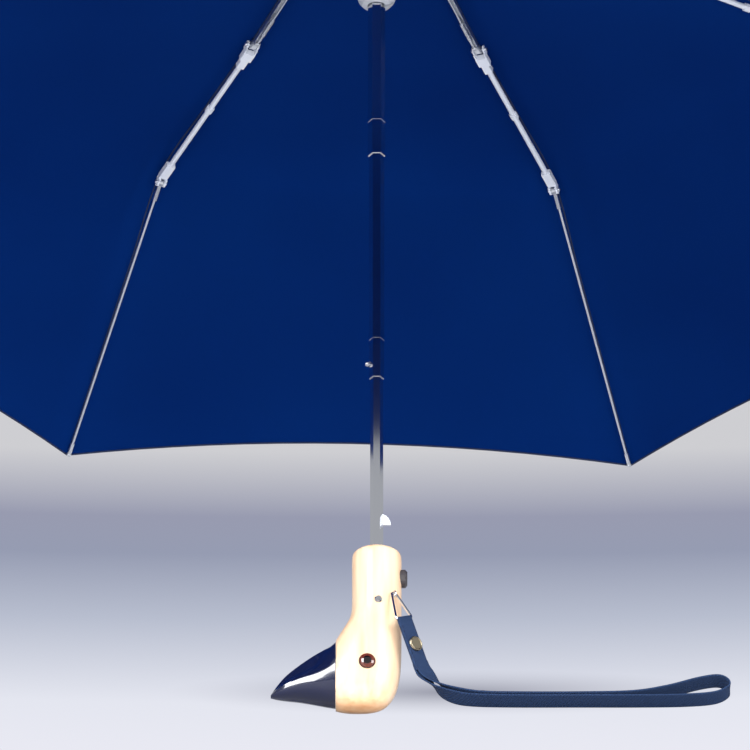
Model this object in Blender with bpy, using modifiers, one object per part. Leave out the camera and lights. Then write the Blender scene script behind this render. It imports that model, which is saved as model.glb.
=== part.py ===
"""A compact folding umbrella with a duck-head handle, open, standing upright on its handle.

Frame: metres, +Z up along the shaft. The origin is on the shaft's axis, at the foot of the handle.
Sizes are in millimetres and become metres when an object is made.
"""

import math

import bmesh
import bpy
import numpy as np
from mathutils import Matrix, Vector

MM = 0.001
GAP = 0.3  # between pieces that sit on or in each other
SLIDE_GAP = 0.15  # each side, between telescoping tubes

# Shaft: three hexagonal tubes, a flat side facing -Y
LOWER_FLATS = 6.6
TUBE_WALL = 0.45
HANDLE_TOP = 100.5
LOWER_TUBE_FOOT = 42.0
LOWER_TUBE_TOP = 238.0
MIDDLE_TUBE_FOOT = 214.3
MIDDLE_MOUTH = 25.7  # length of the necked mouth at a tube's foot
MIDDLE_TUBE_TOP = 392.0
UPPER_TUBE_FOOT = 365.5
UPPER_MOUTH = 23.2
CROWN_Z = 578.0  # height of the ring that the top ribs hang on
MIDDLE_FLATS = LOWER_FLATS + 2 * (SLIDE_GAP + TUBE_WALL)
UPPER_FLATS = MIDDLE_FLATS + 2 * (SLIDE_GAP + TUBE_WALL)
MOUTH_NECK = 0.2  # how much a mouth is drawn in across the flats
HEX_CORNER = 1 / math.cos(math.radians(30))  # corner distance over flat distance

# Ribs: eight, each a chain of top, middle and end rib
RIB_COUNT = 8
FIRST_RIB_ANGLE = 24.8
PIVOT_RADIUS = 12.5  # of the crown's and the runner's wire rings
WIRE_RING = 0.5
TOP_TILT, MIDDLE_TILT, END_TILT = 11.4, 7.4, 41.3  # degrees below level, open
TOP_LENGTH, MIDDLE_LENGTH, END_LENGTH = 177.5, 147.0, 195.0
TOP_HALF_WIDTH, TOP_HALF_HEIGHT, CHANNEL_WALL = 1.6, 1.5, 0.5
KNEE_LIFT = 2.2  # first knee's pin above the ribs' centreline
ELBOW_DROP = 2.4  # second knee's pin below the middle rib's centreline
MIDDLE_ROD = 1.75
END_WIRE, END_WIRE_LIFT = 0.9, 1.2
PIN = 0.7
PIN_HOLE = 0.95
EYE, EYE_HALF_WIDTH, EYE_HOLE = 2.4, 1.0, 0.8
KNEE_EAR_IN, KNEE_EAR_OUT = 2.9, 3.8
ELBOW_EAR_IN, ELBOW_EAR_OUT = 1.5, 2.9

# Stretchers: a deep channel that the folded top rib nests in
STRETCHER_ON_RIB = 90.0  # pin's distance from the crown, along the top rib
RUNNER_Z = 516.0  # height of the runner's wire ring, open
CHEEK_IN, CHEEK_OUT = 1.9, 2.5
STRETCHER_WEB_IN, STRETCHER_WEB_OUT = 3.8, 4.2
STRETCHER_LIP = 0.6
FORK_LENGTH = 26.0

# Control rods, under the outer half of each top rib
ROD = 0.6
ROD_SPRING = 1.0
ROD_DROP = 2.6  # below the top rib's centreline, at the rod's pin
ROD_SPREAD = 2.6  # how much lower its inner end hangs when open
ROD_FROM_KNEE = 7.0
ROD_START = STRETCHER_ON_RIB + 8.0

# Runner, crown and cap
FLANGE_RADIUS, FLANGE_HALF = 15.0, 3.5
SLOT_HALF = 1.4
SLOT_INNER = 9.4
RUNNER_FOOT = 46.0  # below its ring
RUNNER_BORE = UPPER_FLATS * HEX_CORNER / 2 + GAP
CROWN_TOP, CROWN_DISC_FOOT, CROWN_FOOT = 584.5, 574.0, 566.0
HUB_RADIUS = 8.5
STUD_RADIUS, STUD_TOP = 3.0, 592.0
CAP_TOP = 600.0

# Canopy
CANOPY_THICKNESS = 0.9
CANOPY_HOLE = 4.2
CANOPY_SCALLOP = 9.0
CANOPY_DIP = 3.0

# Handle
NECK_RADIUS = 14.3
TUBE_SOCKET_GAP = 0.3
EYE_BEAD, EYE_X, EYE_Z = 4.9, -5.5, 22.8
BUTTON_Z, BUTTON_RADIUS, BUTTON_PROUD, BUTTON_DEPTH = 83.0, 5.4, 3.4, 6.5
BUTTON_TRAVEL = 2.5
CATCH_Z = HANDLE_TOP + 17.3
CATCH_HEIGHT, CATCH_REACH, CATCH_HALF = 7.4, 8.2, 0.8
TUBE_PIN_Z = 224.3

# Wrist strap and its ring
RING_TOP = (9.8, -12.2, 67.3)
RING_TOP_HALF = 1.8
RING_WIRE = 0.8
STRAP_WIDTH, STRAP_THICKNESS = 11.0, 1.3
TAB_THICKNESS = 2.4

WOOD = ("maple", (0.87, 0.68, 0.42), 0.35, 0.0)
GLOSS_NAVY = ("beak_lacquer", (0.012, 0.016, 0.045), 0.08, 0.0)
BROWN_GLASS = ("eye_glass", (0.10, 0.02, 0.01), 0.05, 0.0)
DARK_PLASTIC = ("button_plastic", (0.07, 0.06, 0.07), 0.4, 0.0)
CHROME = ("chrome", (0.75, 0.76, 0.78), 0.12, 1.0)
STEEL = ("rib_steel", (0.62, 0.64, 0.68), 0.35, 1.0)
WHITE_PLASTIC = ("joint_plastic", (0.62, 0.64, 0.70), 0.45, 0.0)
GREY_PLASTIC = ("runner_plastic", (0.42, 0.44, 0.48), 0.45, 0.0)
NAVY_CLOTH = ("canopy_cloth", (0.006, 0.017, 0.075), 0.7, 0.0)
NAVY_WEBBING = ("strap_webbing", (0.008, 0.026, 0.11), 0.85, 0.0)
BRASS = ("badge_brass", (0.45, 0.38, 0.26), 0.35, 1.0)

for old in list(bpy.data.objects):
    bpy.data.objects.remove(old, do_unlink=True)
parts = bpy.data.collections.new("umbrella")
cutters = bpy.data.collections.new("cutters")
for group in (parts, cutters):
    bpy.context.scene.collection.children.link(group)


def material(spec):
    """The Principled material of that name, made once."""
    name, colour, roughness, metallic = spec
    found = bpy.data.materials.get(name)
    if found:
        return found
    made = bpy.data.materials.new(name)
    made.use_nodes = True
    shader = made.node_tree.nodes["Principled BSDF"]
    shader.inputs["Base Color"].default_value = (*colour, 1)
    shader.inputs["Roughness"].default_value = roughness
    shader.inputs["Metallic"].default_value = metallic
    return made


def scratch(mesh, name="scratch"):
    """A helper object that holds a mesh while it is cut or joined."""
    obj = bpy.data.objects.new(name, mesh)
    obj.hide_render = True
    obj.display_type = "WIRE"
    cutters.objects.link(obj)
    return obj


def mesh_of(bm):
    mesh = bpy.data.meshes.new("shape")
    bmesh.ops.recalc_face_normals(bm, faces=bm.faces)
    bm.to_mesh(mesh)
    bm.free()
    return mesh


def box(x, y, z):
    """A box from the low and high ends of its three sides, in millimetres."""
    bm = bmesh.new()
    bmesh.ops.create_cube(bm, size=1)
    for vertex in bm.verts:
        for axis, (low, high) in enumerate((x, y, z)):
            vertex.co[axis] = (low if vertex.co[axis] < 0 else high) * MM
    return scratch(mesh_of(bm))


def cylinder(start, end, radius, sides=12, end_radius=None):
    """A round bar, or a cone, between two points in millimetres."""
    start, end = Vector(start) * MM, Vector(end) * MM
    along = end - start
    bm = bmesh.new()
    bmesh.ops.create_cone(
        bm,
        cap_ends=True,
        segments=sides,
        radius1=radius * MM,
        radius2=(radius if end_radius is None else end_radius) * MM,
        depth=along.length,
    )
    turn = along.to_track_quat("Z", "Y").to_matrix().to_4x4()
    bmesh.ops.transform(bm, matrix=Matrix.Translation((start + end) / 2) @ turn, verts=bm.verts)
    return scratch(mesh_of(bm))


def across(x, z, radius, half_width, sides=14):
    """A disc lying across a rib, as an eye, a lug or a pin does."""
    return cylinder((x, -half_width, z), (x, half_width, z), radius, sides)


def ball(centre, radius, rings=8):
    bm = bmesh.new()
    bmesh.ops.create_uvsphere(bm, u_segments=2 * rings, v_segments=rings, radius=radius * MM)
    bmesh.ops.translate(bm, vec=Vector(centre) * MM, verts=bm.verts)
    return scratch(mesh_of(bm))


def hexagon(flats, low, high):
    """A hexagonal bar along Z with a flat facing -Y."""
    bm = bmesh.new()
    radius = flats / 2 * HEX_CORNER * MM
    bmesh.ops.create_cone(
        bm, cap_ends=True, segments=6, radius1=radius, radius2=radius, depth=(high - low) * MM
    )
    turn = Matrix.Rotation(math.radians(30), 4, "Z")
    place = Matrix.Translation((0, 0, (low + high) / 2 * MM))
    bmesh.ops.transform(bm, matrix=place @ turn, verts=bm.verts)
    return scratch(mesh_of(bm))


def evaluated_mesh(obj):
    """The object's mesh with its modifiers applied and its seams welded."""
    graph = bpy.context.evaluated_depsgraph_get()
    mesh = bpy.data.meshes.new_from_object(obj.evaluated_get(graph))
    mesh.transform(obj.matrix_world)
    bm = bmesh.new()
    bm.from_mesh(mesh)
    bmesh.ops.remove_doubles(bm, verts=bm.verts, dist=1e-6)
    bm.to_mesh(mesh)
    bm.free()
    return mesh


def turned(profile, steps=28):
    """A solid of revolution about Z. The profile runs down the outer side, top to bottom."""
    mesh = bpy.data.meshes.new("profile")
    points = [(radius * MM, 0, height * MM) for radius, height in profile]
    mesh.from_pydata(points, [(i, i + 1) for i in range(len(points) - 1)], [])
    obj = scratch(mesh)
    screw = obj.modifiers.new("turn", "SCREW")
    screw.steps = screw.render_steps = steps
    screw.use_merge_vertices = True
    screw.merge_threshold = 1e-5
    bpy.context.view_layer.update()
    made = evaluated_mesh(obj)
    bpy.data.objects.remove(obj)
    bm = bmesh.new()
    bm.from_mesh(made)
    return scratch(mesh_of(bm))


def torus(major, minor, height, around=48, sides=6):
    """A wire ring round the shaft."""
    ring = [
        (major + minor * math.cos(a), height + minor * math.sin(a))
        for a in (math.tau * i / sides for i in range(sides + 1))
    ]
    return turned(ring, around)


def combine(operation, first, *others):
    """Joins or cuts scratch solids and returns one scratch solid."""
    for other in others:
        modifier = first.modifiers.new(operation, "BOOLEAN")
        modifier.operation = operation
        modifier.object = other
        modifier.solver = "EXACT"
    bpy.context.view_layer.update()
    made = scratch(evaluated_mesh(first))
    for used in (first, *others):
        bpy.data.objects.remove(used)
    return made


def join(*solids):
    return combine("UNION", *solids)


def cut(solid, *tools):
    return combine("DIFFERENCE", solid, *tools)


def finish(name, solid, spec, pivot=(0, 0, 0), turn=None):
    """Makes a named part from a scratch solid. pivot, in millimetres, becomes its origin."""
    obj = bpy.data.objects.new(name, solid.data)
    if turn is None:
        solid.data.transform(Matrix.Translation(-Vector(pivot) * MM))
    else:
        obj.matrix_world = turn
    if not solid.data.materials:
        solid.data.materials.append(material(spec))
    obj.location = Vector(pivot) * MM
    parts.objects.link(obj)
    solid.data.shade_smooth()
    solid.data.set_sharp_from_angle(angle=math.radians(32))
    return obj


def grid_faces(rows, columns, closed_rows=False):
    """Quads between the points of a grid, numbered row by row."""
    faces = []
    for i in range(rows if closed_rows else rows - 1):
        below = (i + 1) % rows
        for j in range(columns - 1):
            faces.append(
                (i * columns + j, i * columns + j + 1, below * columns + j + 1, below * columns + j)
            )
    return faces


def smooth_path(points, samples):
    """Points along a Catmull-Rom curve through the given ones, with samples in each span."""
    points = np.array(points, float)
    padded = np.vstack([2 * points[0] - points[1], points, 2 * points[-1] - points[-2]])
    path = []
    for i in range(1, len(padded) - 2):
        before, here, after, last = padded[i - 1 : i + 3]
        for t in np.arange(samples) / samples:
            path.append(
                0.5
                * (
                    2 * here
                    + (after - before) * t
                    + (2 * before - 5 * here + 4 * after - last) * t**2
                    + (3 * here - before - 3 * after + last) * t**3
                )
            )
    path.append(points[-1])
    return np.array(path)


# ---------------------------------------------------------------- rib geometry


def in_rib_plane(tilt):
    """Unit vectors along a rib that tilts down, and out of its canopy side, as (radius, height)."""
    a = math.radians(tilt)
    return np.array([math.cos(a), -math.sin(a)]), np.array([math.sin(a), math.cos(a)])


top_along, top_out = in_rib_plane(TOP_TILT)
middle_along, middle_out = in_rib_plane(MIDDLE_TILT)
end_along, end_out = in_rib_plane(END_TILT)
crown_pivot = np.array([PIVOT_RADIUS, CROWN_Z])
runner_pivot = np.array([PIVOT_RADIUS, RUNNER_Z])
knee_pivot = crown_pivot + TOP_LENGTH * top_along + KNEE_LIFT * top_out
elbow_pivot = (
    knee_pivot + MIDDLE_LENGTH * middle_along - (KNEE_LIFT + ELBOW_DROP) * middle_out
)
tip = elbow_pivot + END_LENGTH * end_along + END_WIRE_LIFT * end_out
stretcher_pin = crown_pivot + STRETCHER_ON_RIB * top_along
rod_pivot = crown_pivot + (TOP_LENGTH - ROD_FROM_KNEE) * top_along - ROD_DROP * top_out
ROD_LENGTH = TOP_LENGTH - ROD_FROM_KNEE - ROD_START
ROD_TILT = TOP_TILT - math.degrees(math.asin(ROD_SPREAD / ROD_LENGTH))
STRETCHER_LENGTH = float(np.linalg.norm(stretcher_pin - runner_pivot))
STRETCHER_TILT = -math.degrees(math.atan2(*(stretcher_pin - runner_pivot)[::-1]))


def top_rib():
    """U-channel, open below, with an eye on the crown's ring and a lug for the knee's pin."""
    end = TOP_LENGTH
    half, high = TOP_HALF_WIDTH, TOP_HALF_HEIGHT
    bar = box((5, end - 1), (-half, half), (-high, high))
    groove_half = half - CHANNEL_WALL
    groove = box((7, end - 4), (-groove_half, groove_half), (-high - 1, high - CHANNEL_WALL))
    channel = cut(bar, groove)
    rod_x = end - ROD_FROM_KNEE
    ears = [
        box((rod_x - 1.4, rod_x + 1.4), sorted((side * 1.0, side * 1.7)), (-3.6, 0))
        for side in (-1, 1)
    ]
    body = join(
        channel,
        across(0, 0, EYE, EYE_HALF_WIDTH),
        box((0.4, 6), (-0.9, 0.9), (-1.2, 1.2)),
        box((end - 3.4, end - 0.3), (-half - 0.1, half + 0.1), (0.2, 3.6)),
        across(end, KNEE_LIFT, EYE, half + 0.2),
        *ears,
        across(rod_x, -ROD_DROP, 0.35, 1.4, 6),
    )
    return cut(
        body,
        across(0, 0, EYE_HOLE, 2 * half, 10),
        across(end, KNEE_LIFT, PIN_HOLE, 2 * half, 10),
    )


def stretcher():
    """Channel with its web on the canopy side, forked at its outer end."""
    end, lip = STRETCHER_LENGTH, STRETCHER_LIP
    web_end = end - FORK_LENGTH
    outer = box((4.5, web_end), (-CHEEK_OUT, CHEEK_OUT), (-lip, STRETCHER_WEB_OUT))
    inside = box((8, web_end + 1), (-CHEEK_IN, CHEEK_IN), (-lip - 1, STRETCHER_WEB_IN))
    body = [cut(outer, inside)]
    for side in (-1, 1):
        cheek = sorted((side * (CHEEK_IN + 0.05), side * (CHEEK_OUT - 0.05)))
        eye = sorted((side * CHEEK_IN, side * CHEEK_OUT))
        body.append(box((web_end - 1, end), cheek, (-lip + 0.05, 1.5)))
        body.append(cylinder((end, eye[0], 0), (end, eye[1], 0), 2.0, 12))
    body.append(across(0, 0, EYE, EYE_HALF_WIDTH))
    body.append(box((0.4, 5.5), (-0.9, 0.9), (-1.2, 1.2)))
    return cut(
        join(*body),
        across(0, 0, EYE_HOLE, 2 * EYE_HALF_WIDTH, 10),
        across(end, 0, 0.9, 2 * CHEEK_OUT, 8),
    )


def control_rod():
    """Thin rod with a spring sleeve, its pin at the outer end and its length inwards of it."""
    spring_end, spring_length = -9.0, 16.0
    return cut(
        join(
            cylinder((-ROD_LENGTH, 0, 0), (-0.8, 0, 0), ROD, 8),
            cylinder((spring_end - spring_length, 0, 0), (spring_end, 0, 0), ROD_SPRING, 10),
            across(0, 0, 1.1, ROD + 0.15, 12),
        ),
        across(0, 0, 0.6, 2, 8),
    )


def middle_rib():
    """Round rod between a forked knee piece and a forked elbow piece, with a cloth clip."""
    line = -KNEE_LIFT
    end, elbow = MIDDLE_LENGTH, -KNEE_LIFT - ELBOW_DROP
    body = [
        box((4.4, 12), (-KNEE_EAR_OUT, KNEE_EAR_OUT), (line - 2, line + 2)),
        box((11, 20), (-2.5, 2.5), (line - 1.9, line + 1.9)),
        cylinder((18, 0, line), (end - 15, 0, line), MIDDLE_ROD, 10),
        cylinder((0.46 * end - 2.2, 0, line), (0.46 * end + 2.2, 0, line), 2.6, 10),
        box((end - 17, end - 3.4), (-ELBOW_EAR_OUT, ELBOW_EAR_OUT), (line - 2, line + 2)),
        across(0, 0, PIN, KNEE_EAR_OUT - 0.3, 8),
        across(end, elbow, PIN, ELBOW_EAR_OUT - 0.3, 8),
    ]
    for side in (-1, 1):
        knee = sorted((side * KNEE_EAR_IN, side * KNEE_EAR_OUT))
        body.append(box((0.3, 5), (knee[0] + 0.05, knee[1] - 0.05), (line - 1.6, 1.8)))
        body.append(cylinder((0, knee[0], 0), (0, knee[1], 0), 2.6, 12))
        ear = sorted((side * ELBOW_EAR_IN, side * ELBOW_EAR_OUT))
        body.append(box((end - 4, end - 0.3), (ear[0] + 0.05, ear[1] - 0.05), (elbow - 1.6, line + 1.4)))
        body.append(cylinder((end, ear[0], elbow), (end, ear[1], elbow), 2.6, 12))
    return join(*body)


def end_rib():
    """Spring wire with a flat eye at the elbow and a capped tip."""
    lift = END_WIRE_LIFT
    return cut(
        join(
            across(0, 0, 2.3, 1.2),
            box((0.3, 13), (-1.1, 1.1), (0, 2 * lift)),
            cylinder((10, 0, lift), (END_LENGTH, 0, lift), END_WIRE, 8),
            cylinder((END_LENGTH - 8, 0, lift), (END_LENGTH, 0, lift), 1.4, 8),
            ball((END_LENGTH, 0, lift), 1.6, 5),
        ),
        across(0, 0, PIN_HOLE, 2, 10),
    )


def repeat_round_shaft(name, solid, pivot, tilt, spec):
    """Eight copies of a rib piece, sharing a mesh, each with its origin on its pin."""
    for k in range(RIB_COUNT):
        angle = math.radians(FIRST_RIB_ANGLE + 360 / RIB_COUNT * k)
        turn = Matrix.Rotation(angle, 4, "Z") @ Matrix.Rotation(math.radians(tilt), 4, "Y")
        place = (pivot[0] * math.cos(angle), pivot[0] * math.sin(angle), pivot[1])
        finish(f"{name}_{k + 1}", solid, spec, place, turn)


repeat_round_shaft("top_rib", top_rib(), crown_pivot, TOP_TILT, STEEL)
repeat_round_shaft("stretcher", stretcher(), runner_pivot, STRETCHER_TILT, STEEL)
repeat_round_shaft("control_rod", control_rod(), rod_pivot, ROD_TILT, STEEL)
repeat_round_shaft("middle_rib", middle_rib(), knee_pivot, MIDDLE_TILT, WHITE_PLASTIC)
repeat_round_shaft("end_rib", end_rib(), elbow_pivot, END_TILT, STEEL)


# ------------------------------------------------------------- shaft and slider


def telescope_tube(flats, foot, top, mouth):
    """Hexagonal tube. Its mouth, at the foot, is drawn in a little if it has one."""
    bore = flats - 2 * TUBE_WALL
    outside = hexagon(flats, foot + mouth, top)
    if mouth:
        outside = join(outside, hexagon(flats - MOUTH_NECK, foot, foot + mouth + 0.5))
    return cut(outside, hexagon(bore, foot - 1, top + 1))


def catch_slot(x):
    half = CATCH_HALF + GAP
    return box(x, (-half, half), (CATCH_Z - GAP, CATCH_Z + CATCH_HEIGHT + GAP))


def bottom_catch():
    """Leaf with a round upper shoulder and a flat foot, which stands out of its slot."""
    reach, high = CATCH_REACH, CATCH_HEIGHT
    inner = 1.2
    shoulder = [
        (inner + (reach - inner) * math.sin(a), high * math.cos(a))
        for a in (math.radians(10 * i) for i in range(2, 10))
    ]
    outline = [(inner, 0), *reversed(shoulder), (inner, high)]
    curve = bpy.data.curves.new("catch", "CURVE")
    curve.dimensions = "2D"
    curve.fill_mode = "BOTH"
    curve.extrude = CATCH_HALF * MM
    spline = curve.splines.new("POLY")
    spline.points.add(len(outline) - 1)
    for point, (x, z) in zip(spline.points, outline):
        point.co = (x * MM, z * MM, 0, 1)
    spline.use_cyclic_u = True
    obj = scratch_curve(curve)
    obj.rotation_euler = (math.radians(90), 0, 0)
    obj.location = (0, 0, CATCH_Z * MM)
    return curve_to_solid(obj)


def scratch_curve(curve):
    obj = bpy.data.objects.new("guide", curve)
    obj.hide_render = True
    cutters.objects.link(obj)
    return obj


def curve_to_solid(obj):
    bpy.context.view_layer.update()
    mesh = evaluated_mesh(obj)
    bpy.data.objects.remove(obj)
    bm = bmesh.new()
    bm.from_mesh(mesh)
    return scratch(mesh_of(bm))


lower = telescope_tube(LOWER_FLATS, LOWER_TUBE_FOOT, LOWER_TUBE_TOP, 0)
finish("lower_tube", cut(lower, catch_slot((0, LOWER_FLATS))), CHROME)
finish("bottom_catch", bottom_catch(), CHROME, (CATCH_REACH, 0, CATCH_Z))
middle = telescope_tube(MIDDLE_FLATS, MIDDLE_TUBE_FOOT, MIDDLE_TUBE_TOP, MIDDLE_MOUTH)
PIN_HOLE_RADIUS = 1.5
pin_inner = LOWER_FLATS / 2 * HEX_CORNER + GAP
pin_hole = cylinder((-pin_inner + 1.2, 0, TUBE_PIN_Z), (-9, 0, TUBE_PIN_Z), PIN_HOLE_RADIUS, 10)
finish("middle_tube", cut(middle, pin_hole), CHROME)
pin_radius = PIN_HOLE_RADIUS - GAP
head_inner = MIDDLE_FLATS / 2 * HEX_CORNER + 0.4
pin = join(
    cylinder((-pin_inner, 0, TUBE_PIN_Z), (-head_inner - 0.5, 0, TUBE_PIN_Z), pin_radius, 10),
    cylinder((-head_inner, 0, TUBE_PIN_Z), (-head_inner - 1.7, 0, TUBE_PIN_Z), 1.7, 12, 1.2),
)
finish("tube_pin", pin, CHROME)
upper = telescope_tube(UPPER_FLATS, UPPER_TUBE_FOOT, CROWN_TOP - 5.2, UPPER_MOUTH)
finish("upper_tube", upper, CHROME)


def rib_slots(low, high):
    """Eight cutters for the slots that the ribs' eyes sit in."""
    made = []
    for k in range(RIB_COUNT):
        slot = box((SLOT_INNER, 20), (-SLOT_HALF, SLOT_HALF), (low, high))
        turn = math.radians(FIRST_RIB_ANGLE + 360 / RIB_COUNT * k)
        slot.data.transform(Matrix.Rotation(turn, 4, "Z"))
        made.append(slot)
    return made


def crown():
    """Slotted disc on a hub that the upper tube's end sits in, with the ribs' wire ring."""
    bore = UPPER_FLATS * HEX_CORNER / 2 + GAP
    inside_top = CROWN_TOP - 5.2 + GAP
    body = turned(
        [
            (0, STUD_TOP),
            (STUD_RADIUS, STUD_TOP),
            (STUD_RADIUS, CROWN_TOP),
            (FLANGE_RADIUS - 1, CROWN_TOP),
            (FLANGE_RADIUS, CROWN_TOP - 1),
            (FLANGE_RADIUS, CROWN_DISC_FOOT),
            (HUB_RADIUS, CROWN_DISC_FOOT),
            (HUB_RADIUS, CROWN_FOOT),
            (bore, CROWN_FOOT),
            (bore, inside_top),
            (0, inside_top),
        ],
        32,
    )
    slotted = cut(body, *rib_slots(CROWN_DISC_FOOT - 1, CROWN_TOP - 1.6))
    return join(slotted, torus(PIVOT_RADIUS, WIRE_RING, CROWN_Z))


def runner():
    """Sleeve with a bell foot, a waist and a slotted head; a keyway clears the bottom catch."""
    z = RUNNER_Z
    foot = z - RUNNER_FOOT
    bore = RUNNER_BORE
    body = turned(
        [
            (bore, z + FLANGE_HALF),
            (FLANGE_RADIUS, z + FLANGE_HALF),
            (FLANGE_RADIUS, z - FLANGE_HALF),
            (10.4, z - 7),
            (9.4, z - 20),
            (10.2, z - 30),
            (12.0, z - 36),
            (12.0, z - 39),
            (10.8, z - 42.5),
            (8.6, foot + 1),
            (bore, foot),
            (bore, z + FLANGE_HALF),
        ],
        32,
    )
    keyway = box((0, 9.6), (-1.6, 1.6), (foot - 1, foot + 20))
    slotted = cut(body, *rib_slots(z - FLANGE_HALF - 1, z + FLANGE_HALF + 1), keyway)
    return join(slotted, torus(PIVOT_RADIUS, WIRE_RING, z))


def top_cap():
    """Turned cap that clamps the cloth at the crown, with a blind bore for the stud."""
    foot = CROWN_TOP + GAP + CANOPY_THICKNESS + GAP + 0.6
    bore = STUD_RADIUS + GAP
    return turned(
        [
            (0, CAP_TOP),
            (2.2, CAP_TOP - 0.3),
            (3.8, CAP_TOP - 1.6),
            (4.4, CAP_TOP - 4),
            (4.8, CAP_TOP - 8),
            (9.5, foot + 2.2),
            (11.0, foot + 1),
            (11.0, foot),
            (bore, foot),
            (bore, STUD_TOP + GAP),
            (0, STUD_TOP + GAP),
        ],
        28,
    )


finish("crown", crown(), GREY_PLASTIC)
finish("runner", runner(), GREY_PLASTIC, (0, 0, RUNNER_Z))
finish("top_cap", top_cap(), CHROME)


# --------------------------------------------------------------------- canopy


def canopy_line():
    """(radius, height) of the cloth's underside along a rib, from the crown to the hem."""
    lift_knee, lift_elbow = 6.0, 5.2
    knee = knee_pivot + (lift_knee - KNEE_LIFT) * top_out
    elbow = elbow_pivot + (ELBOW_DROP + lift_elbow) * middle_out
    start = CROWN_TOP + GAP + 0.2
    points = [
        (CANOPY_HOLE, start),
        (FLANGE_RADIUS + 2, start),
        crown_pivot + 0.30 * TOP_LENGTH * top_along + 6.6 * top_out,
        crown_pivot + 0.65 * TOP_LENGTH * top_along + 6.8 * top_out,
        knee,
        0.5 * (knee + elbow) + 2.4 * middle_out,
        elbow,
        elbow_pivot + 0.30 * END_LENGTH * end_along + 7.6 * end_out,
        elbow_pivot + 0.65 * END_LENGTH * end_along + 6.0 * end_out,
        tip + 1.5 * end_along + 2.6 * end_out,
    ]
    return smooth_path(points, 2)


def canopy():
    """Eight gores, each straight between its ribs, dipped a little and scalloped at the hem."""
    line = canopy_line()
    across_gore = 6
    rows = []
    half_angle = math.pi / RIB_COUNT
    for k in range(RIB_COUNT):
        middle = math.radians(FIRST_RIB_ANGLE) + half_angle + 2 * half_angle * k
        for j in range(across_gore):
            w = -1 + 2 * j / across_gore
            row = []
            for i, (radius, height) in enumerate(line):
                share = i / (len(line) - 1)
                inwards = CANOPY_SCALLOP * (1 - w * w) * share**4
                dip = CANOPY_DIP * (1 - w * w) * math.sin(math.pi * max(0, share - 0.2) / 0.8)
                chord = radius * math.cos(half_angle) - inwards
                sideways = radius * math.sin(half_angle) * w
                drawn = (chord, sideways) if i > 2 else (
                    radius * math.cos(half_angle * w), radius * math.sin(half_angle * w)
                )
                up = inwards * math.tan(math.radians(END_TILT)) - dip
                x = drawn[0] * math.cos(middle) - drawn[1] * math.sin(middle)
                y = drawn[0] * math.sin(middle) + drawn[1] * math.cos(middle)
                row.append((x * MM, y * MM, (height + up) * MM))
            rows.append(row)
    bm = bmesh.new()
    vertices = [bm.verts.new(point) for row in rows for point in row]
    for face in grid_faces(len(rows), len(line), closed_rows=True):
        bm.faces.new([vertices[i] for i in face])
    bmesh.ops.recalc_face_normals(bm, faces=bm.faces)
    if sum(face.normal.z for face in bm.faces) < 0:
        bmesh.ops.reverse_faces(bm, faces=bm.faces)
    mesh = bpy.data.meshes.new("canopy")
    bm.to_mesh(mesh)
    bm.free()
    obj = scratch(mesh)
    wall = obj.modifiers.new("cloth", "SOLIDIFY")
    wall.thickness = CANOPY_THICKNESS * MM
    wall.offset = 1
    bpy.context.view_layer.update()
    made = scratch(evaluated_mesh(obj))
    bpy.data.objects.remove(obj)
    return made


finish("canopy", canopy(), NAVY_CLOTH)


# --------------------------------------------------------------------- handle

# Wood, as level sections: (z, furthest forward x, furthest back x, half width)
WOOD_SECTIONS = (
    (0, -17, -5, 4.5),
    (1, -23, 1.5, 9),
    (2.8, -28, 5.8, 11.8),
    (7.3, -31, 9.4, 14.2),
    (12.9, -32, 11.8, 15.4),
    (21, -31, 13.4, 16),
    (29, -29, 14, 16),
    (37, -26, 14.2, 15.7),
    (44, -22.3, 14.3, 15.3),
    (50.3, -18.6, 14.3, 14.9),
    (56.6, -15.6, 14.3, 14.6),
    (64, -14.3, 14.3, 14.4),
    (95, -14.2, 14.3, 14.3),
    (98.5, -13.1, 13.1, 13.1),
    (HANDLE_TOP, -9.5, 9.5, 9.5),
)
# Beak, as upright sections from the wood forward: (x, top z, foot z, half width)
BEAK_SECTIONS = (
    (-22.0, 42.5, 1.2, 14.1),
    (-30.0, 37.5, 2.5, 12.5),
    (-37.0, 33.0, 3.8, 11.0),
    (-44.4, 27.4, 5.0, 9.3),
    (-51.7, 21.0, 5.6, 7.0),
    (-56.9, 14.5, 6.2, 4.5),
    (-60.6, 8.6, 6.8, 1.5),
)
BEAK_JOINT = -23.5
MOUTH_SHARE = 0.45  # height of the mouth's edge in a section
FULLNESS = 0.82  # below 1, a section is fuller than an ellipse


def loft(rings):
    """A solid through closed rings of points in millimetres, capped at both ends."""
    bm = bmesh.new()
    made = [[bm.verts.new(Vector(point) * MM) for point in ring] for ring in rings]
    for first, second in zip(made, made[1:]):
        for j in range(len(first)):
            k = (j + 1) % len(first)
            bm.faces.new((first[j], first[k], second[k], second[j]))
    bm.faces.new(made[0])
    bm.faces.new(reversed(made[-1]))
    return scratch(mesh_of(bm))


def full_round(angle, fullness):
    """Cosine and sine, pushed outwards towards a rounded square."""
    c, s = math.cos(angle), math.sin(angle)
    return math.copysign(abs(c) ** fullness, c), math.copysign(abs(s) ** fullness, s)


def head_and_neck():
    rings = []
    for z, front, back, half in WOOD_SECTIONS:
        fullness = FULLNESS if z < 60 else 1
        ring = []
        for i in range(28):
            c, s = full_round(math.tau * i / 28, fullness)
            ring.append(((front + back) / 2 + (back - front) / 2 * c, half * s, z))
        rings.append(ring)
    return loft(rings)


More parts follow.
